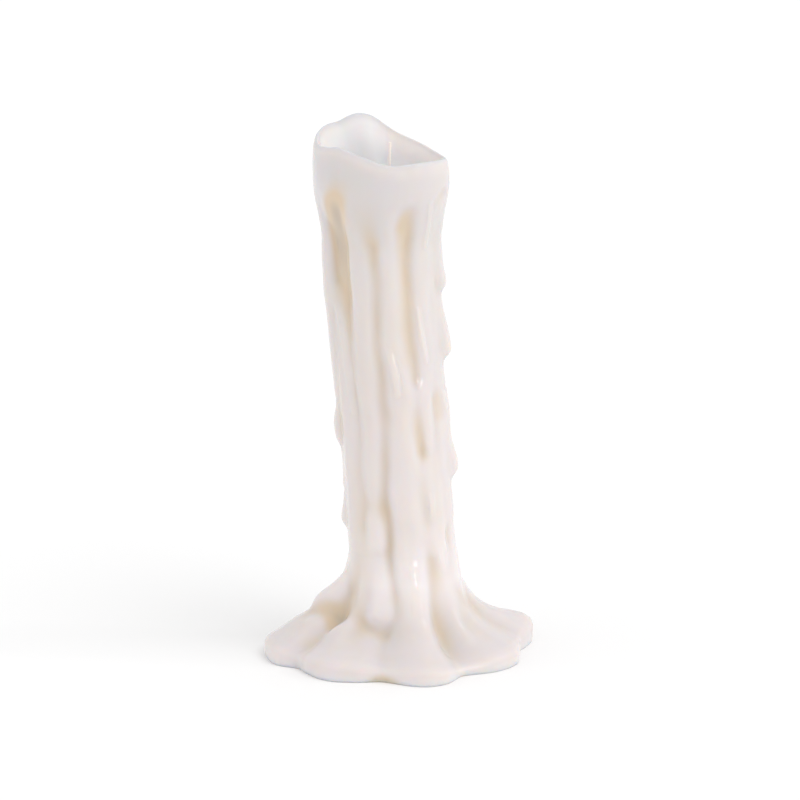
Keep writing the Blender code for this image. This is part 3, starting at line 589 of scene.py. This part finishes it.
def shade_of_the_hollows(points, tint):
    """How deep each point lies below the wax around it, as a slope, and its tint, which give the beige
    painted
    shade of the hollows: hollows come out above 0, ridges below. In the crater only the tint counts, because
    light comes through the rim."""
    outside = EDGE_ROWS + SLOPE_ROWS + PILLAR_ROWS + RIM_ROWS // 2
    depths = []
    for r, row in enumerate(points[:outside]):
        around = round(SHELTER_SPAN * MM / (row[1] - row[0]).length)
        above, below = points[min(r + SHELTER_ROWS, len(points) - 1)], points[max(r - SHELTER_ROWS, 0)]
        depth_row = []
        for k, point in enumerate(row):
            beside = below[k] + above[k]
            beside += row[k - around] + row[(k + around) % POINTS_ROUND]
            lies_below = (beside / 4 - point).dot(normal_at(points, r, k)) / (SHELTER_SPAN * MM)
            depth_row.append(lies_below + tint[r][k])
        depths.append(depth_row)
    return softened(depths + tint[outside:])


def crater_painted_light(row_number):
    """How much of the crater's painted white a row has, painted light for the light through the rim: it
    begins inside the rim and fades to the floor.
    """
    inside = past_the_shoulder(row_number) - CREST_AT
    return ease(inside / CRATER_LIGHT_WITHIN) * (1 - FADES_BY * ease((inside - FADES_FROM) / FADES_OVER))


def past_the_shoulder(row_number):
    """The row's share of the way from the shoulder over the rim to the crater's floor."""
    return (row_number - EDGE_ROWS - SLOPE_ROWS - PILLAR_ROWS) / RIM_ROWS


def on_the_crest(row_number):
    """How near a row is to the crest of the rim, which is painted darker as painted shade against the light
    through its thin wax.
    """
    return ease(1 - abs(past_the_shoulder(row_number) - CREST_AT) / CREST_WIDTH)


def build_wax():
    """The skin as one closed mesh. What its material needs to know of each point is written on it."""
    rows, tint = wax_rows()
    depths = shade_of_the_hollows(rows, tint)
    mesh = bpy.data.meshes.new("wax")
    form = bmesh.new()
    # Written on each point for the material: the hollows' painted shade, the crater's painted light and the
    # crest's painted shade
    hollow_shade = form.verts.layers.float.new("hollow_shade")
    crater = form.verts.layers.float.new("crater")
    crest = form.verts.layers.float.new("crest")
    loops = []
    for r, (row, depth_row) in enumerate(zip(rows, depths)):
        loop = []
        for point, depth in zip(row, depth_row):
            spot = form.verts.new(point)
            spot[hollow_shade] = depth
            spot[crater] = crater_painted_light(r)
            spot[crest] = on_the_crest(r)
            loop.append(spot)
        loops.append(loop)
    for lower, upper in zip(loops, loops[1:] + loops[:1]):
        for k in range(POINTS_ROUND):
            following = (k + 1) % POINTS_ROUND
            form.faces.new((lower[k], lower[following], upper[following], upper[k]))
    form.normal_update()
    ripple_the_skin(form)
    fit_the_box(form, *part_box("wax_body"))
    form.to_mesh(mesh)
    form.free()
    mesh.shade_smooth()
    wax = bpy.data.objects.new("wax", mesh)
    bpy.context.scene.collection.objects.link(wax)
    mesh.materials.append(ivory_paraffin())
    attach(wax, "root")
    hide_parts("wax_body")


def ripple_the_skin(form):
    """Ripples along the skin's normals, fading out towards the table, and none beside the wick."""
    moves = []
    for spot in form.verts:
        above_the_table = ease((spot.co.z / MM - RIPPLES_FROM) / RIPPLES_GROW_OVER)
        moves.append(spot.normal * rippled(spot.co) * MM * above_the_table)
    for spot, move in zip(form.verts, moves):
        if (spot.co - wick_centre(spot.co.z / MM)).length > RIPPLES_CLEAR_OF_THE_WICK * MM:
            spot.co += move


def fit_the_box(form, low, high):
    """Brings the skin to exactly the size of the solid that it stands for."""
    for axis in range(3):
        values = [spot.co[axis] for spot in form.verts]
        lowest, highest = min(values), max(values)
        scale = (high[axis] - low[axis]) / (highest - lowest)
        for spot in form.verts:
            spot.co[axis] = low[axis] + (spot.co[axis] - lowest) * scale


def linear(code):
    """An sRGB hex colour as linear red, green, blue and alpha."""
    parts = [int(code[k : k + 2], 16) / 255 for k in (1, 3, 5)]
    return (*(p / 12.92 if p <= 0.04045 else ((p + 0.055) / 1.055) ** 2.4 for p in parts), 1.0)


def add_node(tree, kind, settings=None, links=None, values=None):
    """A node of that kind with its settings, what is linked into its inputs, and their values."""
    node = tree.nodes.new(kind)
    for name, value in (settings or {}).items():
        setattr(node, name, value)
    for name, value in (values or {}).items():
        node.inputs[name].default_value = value
    for name, source in (links or {}).items():
        tree.links.new(source, node.inputs[name])
    return node


def new_material(name):
    """A material without nodes, and its node tree."""
    made = bpy.data.materials.new(name)
    made.use_nodes = True
    made.node_tree.nodes.clear()
    return made, made.node_tree


def by_height(tree, height, table):
    """A colour that changes with height, through the table's (height in mm, colour)."""
    top = table[-1][0] * MM
    share = add_node(tree, "ShaderNodeMapRange", None, {"Value": height}, {"From Max": top})
    ramp = add_node(tree, "ShaderNodeValToRGB", None, {"Fac": share.outputs["Result"]})
    stops = ramp.color_ramp.elements
    for _ in table[2:]:
        stops.new(0.5)
    for stop, (at, code) in zip(stops, table):
        stop.position = at * MM / top
        stop.color = linear(code)
    return ramp.outputs["Color"]


def ivory_paraffin():
    """Paraffin wax that was cast, melted and set again: light goes some millimetres into it, so it
    has no hard shade. The outer skin is a cool white, with faint streaks along the runs. Deep between
    the runs it is painted a warm beige, and greyer in the deepest places, painted shade for the light that
    has been through more of the wax there. It set with a smooth, half-glossy skin, but the flame has dulled
    the head.
    The crest of the rim is painted darker, painted shade against the light through its thin wax. The crater
    is painted an even white, painted light for the light that reaches it through the rim."""
    made, tree = new_material("ivory_paraffin")
    hollow_shade = add_node(tree, "ShaderNodeAttribute", {"attribute_name": "hollow_shade"})
    depth = add_node(
        tree,
        "ShaderNodeMapRange",
        {"interpolation_type": "SMOOTHSTEP"},
        {"Value": hollow_shade.outputs["Fac"]},
        {"From Min": BEIGE_FROM, "From Max": BEIGE_BY},
    )
    deepest_shade = add_node(
        tree,
        "ShaderNodeMapRange",
        {"interpolation_type": "SMOOTHSTEP"},
        {"Value": hollow_shade.outputs["Fac"]},
        {"From Min": DEEPEST_SHADE_FROM, "From Max": DEEPEST_SHADE_BY},
    )
    crest = add_node(tree, "ShaderNodeAttribute", {"attribute_name": "crest"})
    crater = add_node(tree, "ShaderNodeAttribute", {"attribute_name": "crater"})
    place_on_it = add_node(tree, "ShaderNodeNewGeometry").outputs["Position"]
    height = add_node(tree, "ShaderNodeSeparateXYZ", None, {"Vector": place_on_it}).outputs["Z"]
    streaks = add_node(
        tree,
        "ShaderNodeMapping",
        None,
        {"Vector": place_on_it},
        {"Scale": (1 / STREAK_WIDTH / MM, 1 / STREAK_WIDTH / MM, 1 / STREAK_LENGTH / MM)},
    )
    clouds = add_node(
        tree,
        "ShaderNodeTexNoise",
        None,
        {"Vector": streaks.outputs["Vector"]},
        {"Scale": 1.0, "Detail": 2.0, "Roughness": 0.5},
    )
    cloud = add_node(
        tree,
        "ShaderNodeMapRange",
        None,
        {"Value": clouds.outputs["Fac"]},
        {"From Min": 0.25, "From Max": 0.75},
    )
    skin = add_node(
        tree,
        "ShaderNodeMix",
        {"data_type": "RGBA", "blend_type": "MULTIPLY"},
        {0: cloud.outputs["Result"], 6: by_height(tree, height, SKIN_COLOURS)},
        {7: linear("#fffff8")},
    )
    # Painted light: the crater is painted an even white, for the light that comes through the rim
    outside = add_node(
        tree,
        "ShaderNodeMix",
        {"data_type": "RGBA"},
        {0: crater.outputs["Fac"], 6: skin.outputs[2]},
        {7: linear("#dedee0")},
    )
    # Painted shade: the crest of the rim is painted a darker grey, against the light that shines through its
    # thin wax
    crest_shaded = add_node(
        tree,
        "ShaderNodeMix",
        {"data_type": "RGBA"},
        {0: crest.outputs["Fac"], 6: outside.outputs[2]},
        {7: linear("#c3c5cb")},
    )
    # Painted shade: the hollows are painted a warm beige, greyer in the deepest places
    beige = add_node(
        tree,
        "ShaderNodeMix",
        {"data_type": "RGBA"},
        {0: deepest_shade.outputs["Result"]},
        {6: linear("#d8c7b2"), 7: linear("#b8aba0")},
    )
    colour = add_node(
        tree,
        "ShaderNodeMix",
        {"data_type": "RGBA"},
        {0: depth.outputs["Result"], 6: crest_shaded.outputs[2], 7: beige.outputs[2]},
    )
    reflecting = add_node(
        tree,
        "ShaderNodeMapRange",
        {"interpolation_type": "SMOOTHSTEP"},
        {"Value": height},
        {"From Min": SMOKED_FROM * MM, "From Max": SMOKED_BY * MM, "To Min": 0.5, "To Max": 0.1},
    )
    reach_of_light = add_node(
        tree,
        "ShaderNodeMapRange",
        None,
        {"Value": crest.outputs["Fac"]},
        {"To Min": 6.0 * MM, "To Max": 2.0 * MM},
    )
    shader = add_node(
        tree,
        "ShaderNodeBsdfPrincipled",
        {"subsurface_method": "RANDOM_WALK"},
        {
            "Base Color": colour.outputs[2],
            "Specular IOR Level": reflecting.outputs["Result"],
            "Subsurface Scale": reach_of_light.outputs["Result"],
        },
        {
            "IOR": 1.44,
            "Roughness": 0.18,
            "Subsurface Weight": 1.0,
            "Subsurface Radius": (1.0, 0.7, 0.5),
        },
    )
    add_node(tree, "ShaderNodeOutputMaterial", None, {"Surface": shader.outputs["BSDF"]})
    return made


def waxed_cotton():
    """Cotton yarn soaked in wax: off-white, matt, with a faint shine where the wax has filled it."""
    made, tree = new_material("waxed_cotton")
    shader = add_node(
        tree, "ShaderNodeBsdfPrincipled", None, None, {"Base Color": linear("#f6ebe4"), "Roughness": 0.6}
    )
    add_node(tree, "ShaderNodeOutputMaterial", None, {"Surface": shader.outputs["BSDF"]})
    return made


def build_wick():
    """Three yarns laid round each other along the wick's line."""
    plait = bpy.data.curves.new("wick_plait", "CURVE")
    plait.dimensions = "3D"
    plait.bevel_depth = YARN_RADIUS * MM
    plait.bevel_resolution = 2
    plait.use_fill_caps = True
    length = WICK_TOP - WICK_FOOT
    steps = round(length / YARN_LAY * STEPS_A_TURN)
    for strand in range(YARNS):
        yarn = plait.splines.new("POLY")
        yarn.points.add(steps)
        for k, point in enumerate(yarn.points):
            height = WICK_FOOT + length * k / steps
            turn = math.tau * (strand / YARNS + height / YARN_LAY)
            aside = Vector((math.cos(turn), math.sin(turn), 0)) * YARN_ASIDE * MM
            point.co = (*(wick_centre(height) + aside), 1.0)
    wick = bpy.data.objects.new("wick_plait", plait)
    bpy.context.scene.collection.objects.link(wick)
    plait.materials.append(waxed_cotton())
    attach(wick, "root")
    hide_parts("wick")


def build_floor():
    """The white paper that the candle stands on."""
    mesh = bpy.data.meshes.new("floor")
    corners = [(x * FLOOR_REACH, y * FLOOR_REACH, 0) for x, y in ((-1, -1), (1, -1), (1, 1), (-1, 1))]
    mesh.from_pydata(corners, [], [(0, 1, 2, 3)])
    floor = bpy.data.objects.new("floor", mesh)
    floor.location.z = -FLOOR_BELOW * MM
    bpy.context.scene.collection.objects.link(floor)
    made, tree = new_material("white_paper")
    shader = add_node(
        tree, "ShaderNodeBsdfPrincipled", None, None, {"Base Color": linear("#f5f5f5"), "Roughness": 0.9}
    )
    add_node(tree, "ShaderNodeOutputMaterial", None, {"Surface": shader.outputs["BSDF"]})
    mesh.materials.append(made)


def towards(bearing, elevation):
    """The direction of something at that bearing and elevation, in degrees, seen from the candle."""
    side, up = math.radians(bearing), math.radians(elevation)
    return Vector((math.sin(side) * math.cos(up), -math.cos(side) * math.cos(up), math.sin(up)))


def add_lamp(name, bearing, elevation, width, strength, mirrored):
    """A distant light at that bearing and elevation, as many degrees wide as given. The wax shows the
    mirrored ones as glints."""
    lamp = bpy.data.lights.new(name, "SUN")
    lamp.angle = math.radians(width)
    lamp.energy = strength
    thing = bpy.data.objects.new(name, lamp)
    thing.visible_glossy = mirrored
    thing.rotation_euler = towards(bearing, elevation).to_track_quat("Z", "Y").to_euler()
    bpy.context.scene.collection.objects.link(thing)


def build_studio():
    """A white tent all round, with lamps outside it."""
    world = bpy.data.worlds.new("white_tent")
    world.use_nodes = True
    tent = world.node_tree.nodes["Background"]
    tent.inputs["Color"].default_value = (1, 1, 1, 1)
    tent.inputs["Strength"].default_value = TENT_STRENGTH
    bpy.context.scene.world = world
    for lamp in LAMPS:
        add_lamp(*lamp)
    bpy.context.scene.view_settings.view_transform = "Standard"


def build_camera():
    """A long lens, straight in front of the candle and a little above it."""
    lens = bpy.data.cameras.new("camera")
    lens.lens = LENS
    lens.sensor_width = SENSOR
    camera = bpy.data.objects.new("camera", lens)
    line_of_sight = towards(0, CAMERA_ELEVATION)
    camera.location = Vector((0, 0, CAMERA_AIM)) + CAMERA_AWAY * line_of_sight
    camera.rotation_euler = line_of_sight.to_track_quat("Z", "Y").to_euler()
    bpy.context.scene.collection.objects.link(camera)
    bpy.context.scene.camera = camera


build_camera()
build_wax()
build_wick()
build_floor()
build_studio()
